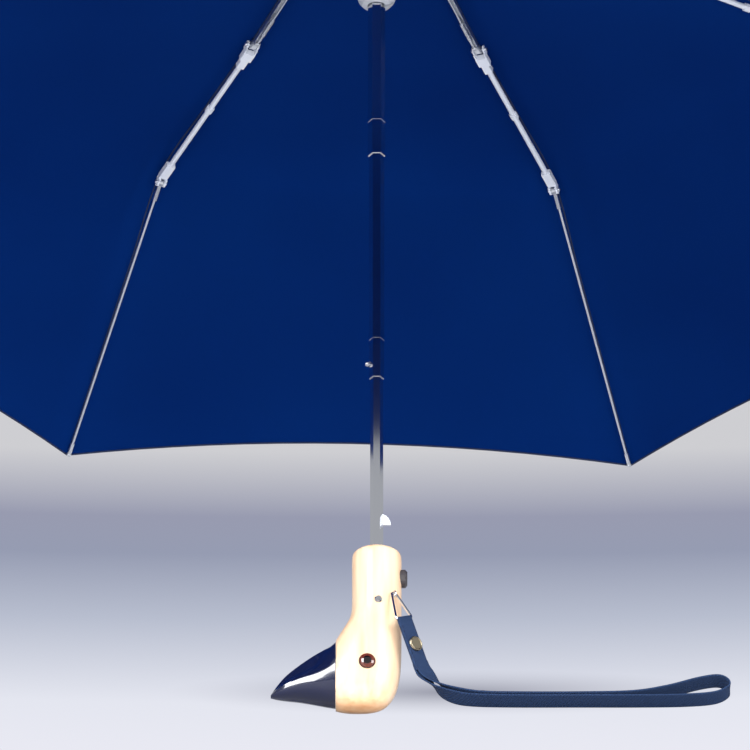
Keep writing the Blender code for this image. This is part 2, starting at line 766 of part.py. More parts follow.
def beak():
    """Rounded at the wood, then a ridge above hollow flanks, a mouth edge and a full jaw."""
    flank = ((1, 0), (0.8, 0.2), (0.42, 0.45), (0.16, 0.8), (0, 1))
    jaw = ((0.94, -0.45), (0.7, -0.8), (0.32, -0.97))
    half_ring = [*reversed(jaw), *flank]
    rings = []
    for x, top, foot, half in BEAK_SECTIONS:
        sharp = min(1, (BEAK_SECTIONS[0][0] - x) / 14)
        mouth = foot + (top - foot) * MOUTH_SHARE
        middle = (top + foot) / 2
        ring = []
        for side in (1, -1):
            points = half_ring if side == 1 else list(reversed(half_ring))[1:]
            for y, z in points:
                c, s = full_round(math.atan2(z, y), FULLNESS)
                round_z = middle + (top - foot) / 2 * s
                sharp_z = mouth + z * ((top - mouth) if z > 0 else (mouth - foot))
                ring.append(
                    (x, side * half * (c + (y - c) * sharp), round_z + (sharp_z - round_z) * sharp)
                )
        rings.append(ring)
    return loft(rings)


def eye_seat(side):
    return cylinder(
        (EYE_X, side * 12.9, EYE_Z), (EYE_X, side * 20, EYE_Z), EYE_BEAD + GAP, 20
    )


def toward_axis(point, reach):
    """The point that far from the given one, straight towards the shaft's axis."""
    inward = Vector((-point[0], -point[1], 0)).normalized()
    return Vector(point) + inward * reach


STUD_HEAD = (1.0, -14.4, 63.0)
wooden = cut(head_and_neck(), box((-60, BEAK_JOINT), (-40, 40), (-5, 60)))
tube_hole = hexagon(LOWER_FLATS + 2 * TUBE_SOCKET_GAP, LOWER_TUBE_FOOT - 1, HANDLE_TOP + 5)
button_hole = cylinder(
    (NECK_RADIUS - BUTTON_DEPTH - BUTTON_TRAVEL - 0.5, 0, BUTTON_Z), (20, 0, BUTTON_Z),
    BUTTON_RADIUS + GAP, 20,
)
stud_hole = cylinder(toward_axis(STUD_HEAD, 9), toward_axis(STUD_HEAD, -3), 1.1 + GAP, 12)
ring_pocket = cylinder(toward_axis(RING_TOP, 5), toward_axis(RING_TOP, -3), 2.4, 14)
staple_hole = cylinder(toward_axis(RING_TOP, 10), toward_axis(RING_TOP, 4), 0.8 + GAP, 12)
eyes = [eye_seat(-1), eye_seat(1)]
wooden = cut(wooden, tube_hole, button_hole, *eyes, stud_hole, ring_pocket, staple_hole)
finish("handle_body", wooden, WOOD)
finish("beak", cut(beak(), box((BEAK_JOINT - GAP, 0), (-40, 40), (-5, 60))), GLOSS_NAVY)
for side, name in ((-1, "eye_left"), (1, "eye_right")):
    dome = ball((EYE_X, side * 9.6, EYE_Z), 7.6, 12)
    keep = cylinder((EYE_X, side * 13.2, EYE_Z), (EYE_X, side * 20, EYE_Z), EYE_BEAD, 20)
    finish(name, combine("INTERSECT", keep, dome), BROWN_GLASS)


def push_button():
    """Oval-domed button that stands out of the neck's side."""
    back = NECK_RADIUS - BUTTON_DEPTH
    face = NECK_RADIUS + BUTTON_PROUD
    return join(
        cylinder((back, 0, BUTTON_Z), (face - 1.2, 0, BUTTON_Z), BUTTON_RADIUS, 20),
        cylinder((face - 1.2, 0, BUTTON_Z), (face, 0, BUTTON_Z), BUTTON_RADIUS, 20, 4.0),
    )


finish("push_button", push_button(), DARK_PLASTIC, (NECK_RADIUS, 0, BUTTON_Z))


# ---------------------------------------------------------- strap ring and strap

RING_LEFT = Vector((11.2, -21.4, 46.6))
RING_RIGHT = Vector((20.4, -13.4, 51.2))
RING_CENTRE = (RING_LEFT + RING_RIGHT) / 2
TAB_DOWN = Vector((0.33, 0.25, -0.91)).normalized()
TAB_ACROSS = (RING_RIGHT - RING_LEFT).normalized()


def wire(points, radius, closed=False, resolution=2):
    """Round wire along straight runs."""
    curve = bpy.data.curves.new("wire", "CURVE")
    curve.dimensions = "3D"
    curve.bevel_depth = radius * MM
    curve.bevel_resolution = resolution
    curve.use_fill_caps = True
    spline = curve.splines.new("POLY")
    spline.points.add(len(points) - 1)
    for point, place in zip(spline.points, points):
        point.co = (*(Vector(place) * MM), 1)
    spline.use_cyclic_u = closed
    return curve_to_solid(scratch_curve(curve))


def ring_staple():
    """Wire eye sunk in the wood's pocket, on a shank in the wood."""
    outward = (Vector(RING_TOP) - toward_axis(RING_TOP, 1)).normalized()
    upward = Vector((0, 0, 1))
    turns = [math.tau * i / 14 for i in range(14)]
    eye = [Vector(RING_TOP) + (outward * math.cos(a) + upward * math.sin(a)) * 1.7 for a in turns]
    shank = cylinder(toward_axis(RING_TOP, 1.6), toward_axis(RING_TOP, 9.5), 0.8, 10)
    return join(wire(eye, 0.45, closed=True), shank)


def stud():
    """Domed rivet with a shank in the wood."""
    return join(
        cylinder(toward_axis(STUD_HEAD, 8.5), toward_axis(STUD_HEAD, -0.4), 1.1, 12),
        cylinder(toward_axis(STUD_HEAD, -0.4), toward_axis(STUD_HEAD, -1.5), 2.3, 16, 1.5),
    )


def strap_ring():
    """Wire ring, narrow at its top, which hangs in the staple, and wide where the strap is."""
    sideways = Vector((RING_TOP[1], -RING_TOP[0], 0)).normalized() * -RING_TOP_HALF
    corners = [Vector(RING_TOP) + sideways, Vector(RING_TOP) - sideways, RING_LEFT, RING_RIGHT]
    if (corners[0] - RING_RIGHT).length > (corners[1] - RING_RIGHT).length:
        corners[:2] = corners[1::-1]
    points = []
    for i, corner in enumerate(corners):
        before, after = corners[i - 1], corners[(i + 1) % 4]
        reach = 0.7 if i < 2 else 2.0
        enter = corner + (before - corner).normalized() * reach
        leave = corner + (after - corner).normalized() * reach
        points += [enter, (enter + leave + 2 * corner) / 4, leave]
    return wire(points, RING_WIRE, closed=True)


finish("ring_staple", ring_staple(), CHROME)
finish("stud", stud(), CHROME)
finish("strap_ring", strap_ring(), CHROME, RING_TOP)

TAB_START = RING_CENTRE + TAB_DOWN * 2.2
TAB_LENGTH = 29.0
STRAP_Y = -5.0
# The loop of webbing, from under the tab along the floor to its far end and back
STRAP_ROUTE = (
    (27.6, -11.6, 17.2),
    (35.0, -9.0, 7.4),
    (44.0, -6.6, 2.4),
    (56.0, -5.3, 1.1),
    (80.0, STRAP_Y, 0.9),
    (115.0, STRAP_Y, 0.9),
    (150.0, STRAP_Y, 0.9),
    (176.0, STRAP_Y, 1.8),
    (193.0, STRAP_Y, 4.6),
    (200.6, STRAP_Y, 8.6),
    (200.6, STRAP_Y, 12.6),
    (195.0, STRAP_Y, 15.2),
    (184.0, STRAP_Y, 13.6),
    (166.0, STRAP_Y, 8.6),
    (146.0, STRAP_Y, 5.2),
    (115.0, STRAP_Y, 3.6),
    (80.0, STRAP_Y, 3.6),
    (60.0, STRAP_Y, 4.6),
    (48.0, -6.0, 6.6),
    (40.0, -8.0, 10.4),
    (30.4, -11.0, 19.6),
)


def ribbon(points, widths, width, thickness):
    """Flat band along a path; widths gives the direction of its width at each point."""
    vertices = []
    for point, direction in zip(points, widths):
        side = Vector(direction).normalized() * width / 2
        vertices += [(Vector(point) - side) * MM, (Vector(point) + side) * MM]
    mesh = bpy.data.meshes.new("ribbon")
    mesh.from_pydata(vertices, [], grid_faces(len(points), 2))
    obj = scratch(mesh)
    wall = obj.modifiers.new("webbing", "SOLIDIFY")
    wall.thickness = thickness * MM
    wall.offset = 0
    wall.use_even_offset = True
    bpy.context.view_layer.update()
    made = evaluated_mesh(obj)
    bpy.data.objects.remove(obj)
    bm = bmesh.new()
    bm.from_mesh(made)
    return scratch(mesh_of(bm))


def strap_loop():
    path = smooth_path(STRAP_ROUTE, 3)
    level = Vector((0, 1, 0))
    widths = []
    for x, y, z in path:
        turn = min(1.0, max(0.0, (z - 4) / 14)) if x < 60 else 0.0
        widths.append(level.lerp(TAB_ACROSS, turn))
    return ribbon(path, widths, STRAP_WIDTH, STRAP_THICKNESS)


def strap_tab():
    """The doubled, sewn end that folds round the ring's base."""
    steps = 5
    path = [TAB_START + TAB_DOWN * TAB_LENGTH * i / steps for i in range(steps + 1)]
    return ribbon(path, [TAB_ACROSS] * len(path), STRAP_WIDTH, TAB_THICKNESS)


finish("strap_loop", strap_loop(), NAVY_WEBBING)
finish("strap_tab", strap_tab(), NAVY_WEBBING)
TAB_FACE = TAB_DOWN.cross(TAB_ACROSS).normalized()
if TAB_FACE.y > 0:
    TAB_FACE = -TAB_FACE
badge_at = TAB_START + TAB_DOWN * 14 + TAB_FACE * (TAB_THICKNESS / 2 + GAP)
finish("snap_badge", cylinder(badge_at, badge_at + TAB_FACE * 1.1, 4.2, 20, 3.4), BRASS)

for helper in list(cutters.objects):
    bpy.data.objects.remove(helper)
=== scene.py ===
# %% [markdown]
# # Folding umbrella with a duck-head handle
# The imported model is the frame: its solids are right in size and move on their joints. This
# script adds what those solids can't show: cloth, wood grain, webbing, stitches and light.
# Points are in millimetres, and MM turns them into metres when a mesh is made.

# %%
import math

import bpy
import numpy as np
from mathutils import Matrix, Vector


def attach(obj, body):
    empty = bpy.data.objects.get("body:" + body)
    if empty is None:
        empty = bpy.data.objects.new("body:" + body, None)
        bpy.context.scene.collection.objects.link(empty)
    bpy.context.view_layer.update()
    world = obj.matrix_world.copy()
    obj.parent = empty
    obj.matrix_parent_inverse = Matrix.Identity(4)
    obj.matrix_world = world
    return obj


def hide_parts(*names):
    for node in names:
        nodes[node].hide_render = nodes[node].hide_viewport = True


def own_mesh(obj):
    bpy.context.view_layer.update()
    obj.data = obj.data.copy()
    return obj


MM = 0.001

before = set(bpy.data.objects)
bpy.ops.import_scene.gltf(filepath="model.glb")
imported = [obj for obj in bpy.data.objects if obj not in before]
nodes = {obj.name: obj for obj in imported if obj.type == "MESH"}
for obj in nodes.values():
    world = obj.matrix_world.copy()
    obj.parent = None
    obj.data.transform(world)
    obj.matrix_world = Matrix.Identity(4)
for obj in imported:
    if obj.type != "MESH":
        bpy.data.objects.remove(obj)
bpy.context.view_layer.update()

# %% [markdown]
# ## Camera
# An open umbrella shows its ribs only from inside. The camera stands far off in front, below
# the canopy's level, and a long lens keeps the shaft's sides parallel. A shorter lens from
# nearby would also fit it in, but would swell the handle.

# %%
CAMERA_AT = Vector((0, -3.571, -1.719))
CAMERA_AIM = Vector((-0.00097, 0, 0.2169))
CAMERA_LENS = 332.6
CAMERA_FAR = 100

camera_data = bpy.data.cameras.new("camera")
camera_data.lens = CAMERA_LENS
camera_data.sensor_width = 36
camera_data.clip_end = CAMERA_FAR
camera = bpy.data.objects.new("camera", camera_data)
bpy.context.scene.collection.objects.link(camera)
look = (CAMERA_AIM - CAMERA_AT).to_track_quat("-Z", "Y").to_matrix().to_4x4()
camera.matrix_world = Matrix.Translation(CAMERA_AT) @ look
bpy.context.scene.camera = camera
print(f"camera {(CAMERA_AIM - CAMERA_AT).length:.2f} m from its aim")

# %% [markdown]
# ## Shader expressions
# A finish is a graph of nodes. Wired by hand, it hides the sum that it stands for. Socket wraps
# one number of the graph, so that a sum on it adds a Math node. Every other node comes from
# add_node. Colours stay out of Math nodes, which would turn them grey.


# %%
class Socket:
    """A shader value that can be added, subtracted and scaled."""

    def __init__(self, tree, output):
        self.tree = tree
        self.output = output

    def math(self, operation, other=0.0):
        return add_node(self.tree, "ShaderNodeMath", {"operation": operation}, {0: self, 1: other})

    def __add__(self, other):
        return self.math("ADD", other)

    def __sub__(self, other):
        return self.math("SUBTRACT", other)

    def __rsub__(self, other):
        return add_node(self.tree, "ShaderNodeMath", {"operation": "SUBTRACT"}, {0: other, 1: self})

    def __mul__(self, other):
        return self.math("MULTIPLY", other)

    __radd__ = __add__
    __rmul__ = __mul__


def set_stops(ramp, stops):
    """Fills a colour ramp from pairs of a place and a colour."""
    while len(ramp.elements) < len(stops):
        ramp.elements.new(0.5)
    for element, (position, colour) in zip(ramp.elements, stops):
        element.position = position
        element.color = (*colour, 1)


def add_node(tree, kind, settings, values, output=0):
    """One output of a new node. Its settings are set first, then its sockets' values or links."""
    node = tree.nodes.new(kind)
    for key, value in settings.items():
        if key == "stops":
            set_stops(node.color_ramp, value)
        else:
            setattr(node, key, value)
    for key, value in values.items():
        if isinstance(value, Socket):
            tree.links.new(value.output, node.inputs[key])
        else:
            node.inputs[key].default_value = value
    return Socket(tree, node.outputs[output])


def place(tree):
    """The object's own coordinates, which a pose doesn't change."""
    return add_node(tree, "ShaderNodeTexCoord", {}, {}, "Object")


def axis_of(vector, axis):
    return add_node(vector.tree, "ShaderNodeSeparateXYZ", {}, {0: vector}, axis)


def noise(vector, scale, detail):
    values = {"Vector": vector, "Scale": scale, "Detail": detail}
    return add_node(vector.tree, "ShaderNodeTexNoise", {}, values, "Fac")


def waves(vector, scale, bands):
    values = {"Vector": vector, "Scale": scale}
    return add_node(vector.tree, "ShaderNodeTexWave", {"bands_direction": bands}, values, "Fac")


def ramp(value, stops):
    return add_node(value.tree, "ShaderNodeValToRGB", {"stops": stops}, {0: value})


print("shader expressions ready")

# %% [markdown]
# ## Plain finishes
# Chrome, steel, plastic, lacquer and brass are one colour and one roughness each, so each is a
# Principled shader with a few numbers. The lacquer of the beak also has a clear coat, which
# gives the sharp streaks of light along its ridge.


# %%
def finish_of(name, colour, roughness, metallic=0.0, **more):
    """A Principled material; more holds other inputs by their names with _ for a space."""
    material = bpy.data.materials.new(name)
    material.use_nodes = True
    shader = principled(material)
    shader.inputs["Base Color"].default_value = (*colour, 1)
    shader.inputs["Roughness"].default_value = roughness
    shader.inputs["Metallic"].default_value = metallic
    for key, value in more.items():
        shader.inputs[key.replace("_", " ")].default_value = value
    return material


def principled(material):
    return material.node_tree.nodes["Principled BSDF"]


CHROME = finish_of("chrome", (0.80, 0.81, 0.83), 0.09, 1.0)
STEEL = finish_of("rib_steel", (0.62, 0.64, 0.68), 0.32, 1.0)
WHITE_PLASTIC = finish_of("joint_plastic", (0.60, 0.63, 0.70), 0.4)
GREY_PLASTIC = finish_of("runner_plastic", (0.36, 0.38, 0.42), 0.38)
BUTTON_PLASTIC = finish_of("button_plastic", (0.05, 0.045, 0.05), 0.35)
LACQUER = finish_of(
    "beak_lacquer", (0.006, 0.009, 0.035), 0.12, Coat_Weight=1.0, Coat_Roughness=0.03
)
BRASS = finish_of("badge_brass", (0.42, 0.36, 0.25), 0.3, 1.0)
DARK_THREAD = finish_of("thread", (0.004, 0.012, 0.05), 0.8)
print(f"{len(bpy.data.materials)} materials")

# %% [markdown]
# ## Maple
# The handle is pale maple under a thin varnish. Its grain is noise drawn out along the shaft:
# the pattern is squeezed nine times more across than along. A picture of wood would also do,
# but it would need unwrapping, and would stretch over the duck's brow.

# %%
GRAIN_SQUEEZE = (60, 60, 7)
GRAIN_SCALE, GRAIN_DETAIL = 3.0, 6.0
GRAIN_STOPS = [(0.3, (0.86, 0.55, 0.32)), (0.55, (0.95, 0.68, 0.45)), (0.8, (0.98, 0.77, 0.56))]


def colour_by(material, socket):
    target = principled(material).inputs["Base Color"]
    material.node_tree.links.new(socket.output, target)


def bump_by(material, height, distance, strength):
    """Tilts the light on the surface as if it had that height, and leaves the mesh alone."""
    tree = material.node_tree
    values = {"Distance": distance, "Strength": strength, "Height": height}
    bump = add_node(tree, "ShaderNodeBump", {}, values)
    tree.links.new(bump.output, principled(material).inputs["Normal"])


def maple():
    material = finish_of(
        "maple", (0.9, 0.68, 0.42), 0.38, Coat_Weight=0.3, Coat_Roughness=0.15
    )
    tree = material.node_tree
    values = {"Vector": place(tree), "Scale": GRAIN_SQUEEZE}
    grain = noise(add_node(tree, "ShaderNodeMapping", {}, values), GRAIN_SCALE, GRAIN_DETAIL)
    colour_by(material, ramp(grain, GRAIN_STOPS))
    bump_by(material, grain, distance=0.0001, strength=0.15)
    return material


MAPLE = maple()
print("maple: grain along the shaft")

# %% [markdown]
# ## Canopy cloth
# Pongee is a thin, close weave that lets a little light through. Two crossed waves make the
# weave, and slow noise makes the wrinkles. A quarter of the surface is a translucent shader,
# so that the inside glows a little where light falls on the outside.

# %%
WEAVE_SCALE, WEAVE_SHARE = 900, 0.08
WRINKLE_SCALE, TINT_SCALE = 16.0, 5.0
TINT_STOPS = [(0.3, (0.0004, 0.0175, 0.128)), (0.7, (0.0008, 0.0240, 0.158))]
THROUGH_COLOUR = (0.0004, 0.018, 0.14, 1)
THROUGH_SHARE = 0.25


def mix_shaders(tree, factor, first, second):
    """Puts a mix of two shaders on the surface."""
    mixed = add_node(tree, "ShaderNodeMixShader", {}, {0: factor, 1: first, 2: second})
    tree.links.new(mixed.output, tree.nodes["Material Output"].inputs["Surface"])


def canopy_cloth():
    material = finish_of("canopy_cloth", (0.0004, 0.012, 0.10), 0.7, Specular_IOR_Level=0.02)
    tree = material.node_tree
    at = place(tree)
    weave = waves(at, WEAVE_SCALE, "X") * waves(at, WEAVE_SCALE, "Y")
    wrinkles = noise(at, WRINKLE_SCALE, 4.0)
    bump_by(material, weave * WEAVE_SHARE + wrinkles, distance=0.004, strength=0.35)
    colour_by(material, ramp(noise(at, TINT_SCALE, 2.0), TINT_STOPS))
    through = add_node(tree, "ShaderNodeBsdfTranslucent", {}, {"Color": THROUGH_COLOUR})
    body = Socket(tree, principled(material).outputs[0])
    mix_shaders(tree, THROUGH_SHARE, body, through)
    return material


CLOTH = canopy_cloth()
print("cloth: crossed waves, wrinkles, and light through it")

# %% [markdown]
# ## Webbing
# The wrist strap is a coarse twill. Slanted waves stand for the twill and cross waves for the
# weft, and the same value colours the valleys darker than the ribs: painted shade in the weave's
# hollows.

# %%
TWILL_SCALE, WEFT_SCALE = 330, 620
WEBBING_VALLEY_SHADE_STOPS = [(0.0, (0.003, 0.016, 0.058)), (1.0, (0.007, 0.036, 0.115))]


def webbing():
    material = finish_of("strap_webbing", (0.008, 0.030, 0.13), 0.8)
    at = place(material.node_tree)
    weave = waves(at, TWILL_SCALE, "DIAGONAL") * 0.6 + waves(at, WEFT_SCALE, "Y") * 0.4
    bump_by(material, weave, distance=0.0004, strength=0.7)
    # Painted shade: the weave's valleys are coloured darker than its raised threads.
    colour_by(material, ramp(weave, WEBBING_VALLEY_SHADE_STOPS))
    return material


WEBBING = webbing()
print("webbing: slanted and cross waves")

# %% [markdown]
# ## Finishes on the frame's nodes
# Tubes, ribs and small fittings keep their solids, and only take a finish. Eight copies of a
# rib share one entry: the number at the end of a node's name is left out when it is looked up.

# %%
FINISHES = {
    "lower_tube": CHROME,
    "middle_tube": CHROME,
    "upper_tube": CHROME,
    "tube_pin": CHROME,
    "bottom_catch": WHITE_PLASTIC,
    "top_cap": CHROME,
    "crown": GREY_PLASTIC,
    "runner": GREY_PLASTIC,
    "top_rib": STEEL,
    "stretcher": STEEL,
    "control_rod": STEEL,
    "middle_rib": WHITE_PLASTIC,
    "end_rib": STEEL,
    "push_button": BUTTON_PLASTIC,
    "stud": CHROME,
    "ring_staple": CHROME,
    "strap_ring": CHROME,
    "snap_badge": BRASS,
}
painted = 0
for name, node in nodes.items():
    known = name if name in FINISHES else name.rsplit("_", 1)[0]
    if known in FINISHES:
        node.data.materials.clear()
        node.data.materials.append(FINISHES[known])
        painted += 1
print(f"{painted} nodes painted")

# %% [markdown]
# ## Meshes from arrays
# A new piece is a grid of points worked out as one array. new_piece puts it into a mesh, and
# grid_faces joins each point to its neighbours in the next row and column.


# %%
def new_piece(name, points, faces, material):
    """A smooth mesh from an array of points in millimetres."""
    mesh = bpy.data.meshes.new(name)
    mesh.from_pydata((points * MM).tolist(), [], faces)
    mesh.update()
    mesh.shade_smooth()
    mesh.materials.append(material)
    piece = bpy.data.objects.new(name, mesh)
    bpy.context.scene.collection.objects.link(piece)
    return piece


def grid_faces(rows, columns, round_columns=False):
    """Four-sided faces of a grid whose points are counted row by row."""
    last = columns if round_columns else columns - 1
    i, j = np.meshgrid(np.arange(rows - 1), np.arange(last), indexing="ij")
    k = (j + 1) % columns
    corners = [i * columns + j, i * columns + k, (i + 1) * columns + k, (i + 1) * columns + j]
    return np.stack(corners, axis=-1).reshape(-1, 4)


def grid_points(*coordinates):
    """One array of points from coordinates that may differ in how many rows they have."""
    return np.stack(np.broadcast_arrays(*coordinates), axis=-1)


def smooth_path(points, samples):
    """
    A Catmull-Rom curve: between two points, a cubic whose slope at each end is half the step
    between that end's two neighbours. It passes through every given point.
    """
    points = np.array(points, float)
    padded = np.vstack([2 * points[0] - points[1], points, 2 * points[-1] - points[-2]])
    spans = len(points) - 1
    before, here, after, last = (padded[i : spans + i, None] for i in range(4))
    t = (np.arange(samples) / samples)[:, None]
    path = 0.5 * (
        2 * here
        + (after - before) * t
        + (2 * before - 5 * here + 4 * after - last) * t**2
        + (3 * here - before - 3 * after + last) * t**3
    )
    return np.vstack([path.reshape(-1, points.shape[1]), points[-1]])


def tube(name, path, radius, material, sides=8):
    """Round wire: a circle carried along a path of points in millimetres."""
    path = np.array(path, float)
    curve = bpy.data.curves.new(name, "CURVE")
    curve.dimensions = "3D"
    curve.bevel_depth = radius * MM
    curve.bevel_resolution = sides // 4
    curve.use_fill_caps = True
    spline = curve.splines.new("POLY")
    spline.points.add(len(path) - 1)
    spline.points.foreach_set("co", np.column_stack([path * MM, np.ones(len(path))]).ravel())
    curve.materials.append(material)
    piece = bpy.data.objects.new(name, curve)
    bpy.context.scene.collection.objects.link(piece)
    return piece


print("mesh helpers ready")

# %% [markdown]
# ## Ribs
# Each rib is a chain of three, from the crown to the hem, and lies in a plane through the
# shaft. The same plane geometry as in the solids is worked out here once, as (radius, height),
# and in_space turns it to rib k.

# %%
RIB_COUNT = 8
FIRST_RIB_ANGLE = 24.8
TOP_TILT, MIDDLE_TILT, END_TILT = 11.4, 7.4, 41.3
TOP_LENGTH, MIDDLE_LENGTH, END_LENGTH = 177.5, 147.0, 195.0
KNEE_LIFT, ELBOW_DROP, END_WIRE_LIFT = 2.2, 2.4, 1.2
STRETCHER_ON_RIB = 90.0
CROWN_TOP, CROWN_Z, PIVOT_RADIUS = 584.5, 578.0, 12.5


def in_rib_plane(tilt):
    """Unit vectors along a rib that tilts down by that angle, and out of its canopy side."""
    a = math.radians(tilt)
    return np.array([math.cos(a), -math.sin(a)]), np.array([math.sin(a), math.cos(a)])


top_along, top_out = in_rib_plane(TOP_TILT)
middle_along, middle_out = in_rib_plane(MIDDLE_TILT)
end_along, end_out = in_rib_plane(END_TILT)
crown_pivot = np.array([PIVOT_RADIUS, CROWN_Z])
knee_pivot = crown_pivot + TOP_LENGTH * top_along + KNEE_LIFT * top_out
elbow_pivot = knee_pivot + MIDDLE_LENGTH * middle_along - (KNEE_LIFT + ELBOW_DROP) * middle_out
tip = elbow_pivot + END_LENGTH * end_along + END_WIRE_LIFT * end_out


def rib_angle(k):
    return np.radians(FIRST_RIB_ANGLE + 360 / RIB_COUNT * k)


def in_space(k, point, sideways=0.0):
    """Points of rib k's plane, given as (radius, height), and how far they are to its left."""
    c, s = np.cos(rib_angle(k)), np.sin(rib_angle(k))
    radius, height = np.moveaxis(np.asarray(point), -1, 0)
    return grid_points(radius * c - sideways * s, radius * s + sideways * c, height)


print(f"rib tip at radius {tip[0]:.1f} mm, height {tip[1]:.1f} mm")

# %% [markdown]
# ## Springs on the control rods
# A light coil near each rod's outer end takes up its slack. It is a wire along a helix: a
# circle whose centre moves evenly along the rod.

# %%
ROD_DROP, ROD_FROM_KNEE, ROD_CONVERGES = 2.6, 7.0, 2.0
COIL_START, COIL_LENGTH, COIL_RADIUS, COIL_TURNS = 25, 16, 1.35, 12
COIL_SIDES, COIL_WIRE = 10, 0.28


def spring(name, k, start, along):
    """Centre at start + along * length * t, and radius * (cos, sin) of turns * t round it."""
    out = np.array([-along[1], along[0]])
    step = np.arange(COIL_TURNS * COIL_SIDES + 1)[:, None]
    a = math.tau * step / COIL_SIDES
    centre = start + along * (COIL_LENGTH * step / (COIL_TURNS * COIL_SIDES))
    at = centre + out * COIL_RADIUS * np.cos(a)
    path = in_space(k, at, COIL_RADIUS * np.sin(a[:, 0]))
    return tube(name, path, COIL_WIRE, CHROME, 4)


rod_along, _ = in_rib_plane(TOP_TILT - ROD_CONVERGES)
rod_end = crown_pivot + (TOP_LENGTH - ROD_FROM_KNEE) * top_along - ROD_DROP * top_out
for k in range(RIB_COUNT):
    n = k + 1
    coil = spring(f"rod_spring_{n}", k, rod_end - rod_along * COIL_START, rod_along)
    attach(coil, f"rod_{n}")
print(f"{RIB_COUNT} springs of {COIL_TURNS} turns")

# %% [markdown]
# ## Rivets
# Each pin of the chain ends in a domed head on both sides. A small ball half sunk in the rib
# gives the dome, with few faces because there are 48 of them. Its place is moved into the
# mesh, so that the object itself stays at the origin.

# %%
RIVETS = (
    ("knee", knee_pivot, 3.9, 1.5, "middle_arm"),
    ("elbow", elbow_pivot, 3.0, 1.4, "middle_arm"),
    ("strut_pin", crown_pivot + STRETCHER_ON_RIB * top_along, 2.7, 1.2, "strut"),
)
for k in range(RIB_COUNT):
    n = k + 1
    for label, at, half, radius, arm in RIVETS:
        for side in (-1, 1):
            bpy.ops.mesh.primitive_uv_sphere_add(
                segments=12, ring_count=6, radius=radius * MM
            )
            rivet = bpy.context.object
            rivet.name = f"{label}_rivet_{n}_{'a' if side < 0 else 'b'}"
            centre = Vector(in_space(k, at, side * half)) * MM
            rivet.data.transform(Matrix.Translation(centre))
            rivet.data.materials.append(STEEL)
            rivet.data.shade_smooth()
            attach(rivet, f"{arm}_{n}")
print(f"{RIB_COUNT * len(RIVETS) * 2} rivet heads")

# %% [markdown]
# ## The canopy's lines
# The cloth is held out by the ribs and sags between them. Over a rib it follows line, a curve
# through points just above the chain. Between ribs it follows free_line, where the bends are
# spread out, as nothing holds the cloth to the knee there.

# %%
CANOPY_HOLE, CANOPY_FLAT = 4.2, 17.0
SPAN_SAMPLES, EASE_ROWS = 6, 9
line_start = CROWN_TOP + 0.5
knee_cloth = knee_pivot + (6.0 - KNEE_LIFT) * top_out
elbow_cloth = elbow_pivot + (ELBOW_DROP + 5.2) * middle_out
canopy_points = [
    (CANOPY_HOLE, line_start),
    (CANOPY_FLAT, line_start),
    crown_pivot + 0.30 * TOP_LENGTH * top_along + 6.0 * top_out,
    crown_pivot + 0.65 * TOP_LENGTH * top_along + 5.4 * top_out,
    knee_cloth,
    0.5 * (knee_cloth + elbow_cloth) + 1.0 * middle_out,
    elbow_cloth,
    elbow_pivot + 0.30 * END_LENGTH * end_along + 6.0 * end_out,
    elbow_pivot + 0.65 * END_LENGTH * end_along + 5.0 * end_out,
    tip + 1.5 * end_along + 2.6 * end_out,
]
line = smooth_path(canopy_points, SPAN_SAMPLES)
knee_row, elbow_row = 4 * SPAN_SAMPLES, 6 * SPAN_SAMPLES
last_row = len(line) - 1


def eased(path, reach):
    """Each point becomes a weighted mean of its neighbours, with weights of a raised cosine."""
    weights = np.hanning(2 * reach + 3)[1:-1]
    padded = np.vstack(
        [2 * path[0] - path[reach:0:-1], path, 2 * path[-1] - path[-2 : -reach - 2 : -1]]
    )
    columns = [np.convolve(padded[:, i], weights / weights.sum(), "valid") for i in range(2)]
    return np.column_stack(columns)


free_line = eased(line, EASE_ROWS)
print(f"{last_row + 1} rows from the crown to the hem")

# %% [markdown]
# ## The canopy's surface
# One function of two parameters gives every point of a gore: the row from crown to hem, and w
# across it. It is worked out for whole arrays, and neighbouring strips share it, so that
# their edges and normals meet. A cloth simulation would also give sag, but not edges that
# still meet when eight ribs move.

# %%
HALF_GORE = math.pi / RIB_COUNT
CANOPY_SCALLOP, CANOPY_DIP = 9.0, 5.0
DIP_START, FREE_RISE = 0.2, 2.2
NORMAL_STEP = 0.02


def cloth_point(k, row, w):
    """
    A point of the gore to the left of rib k. w runs from 0 at that rib to 1 at the next.
    (radius, height) goes from line to free_line as w leaves a rib. full is a parabola, 0 at the
    ribs and 1 mid gore: it scales how far the hem curves in and how far the cloth dips.
    """
    row = np.clip(row, 0, last_row)
    share = row / last_row
    across = 2 * w - 1
    full = 1 - across * across
    free = np.minimum(1.0, full * FREE_RISE) * np.minimum(1.0, row / (2 * SPAN_SAMPLES))
    held, loose = line[row], free_line[row]
    radius, height = np.moveaxis(held + (loose - held) * free[..., None], -1, 0)
    inwards = CANOPY_SCALLOP * full * share**4
    sag = np.sin(math.pi * np.maximum(0, share - DIP_START) / (1 - DIP_START))
    straight = row > SPAN_SAMPLES
    angle = HALF_GORE * across
    x = np.where(straight, radius * math.cos(HALF_GORE) - inwards, radius * np.cos(angle))
    y = np.where(straight, radius * math.sin(HALF_GORE) * across, radius * np.sin(angle))
    z = height + inwards * math.tan(math.radians(END_TILT)) - CANOPY_DIP * full * sag
    middle = rib_angle(k) + HALF_GORE
    c, s = np.cos(middle), np.sin(middle)
    return grid_points(x * c - y * s, x * s + y * c, z)


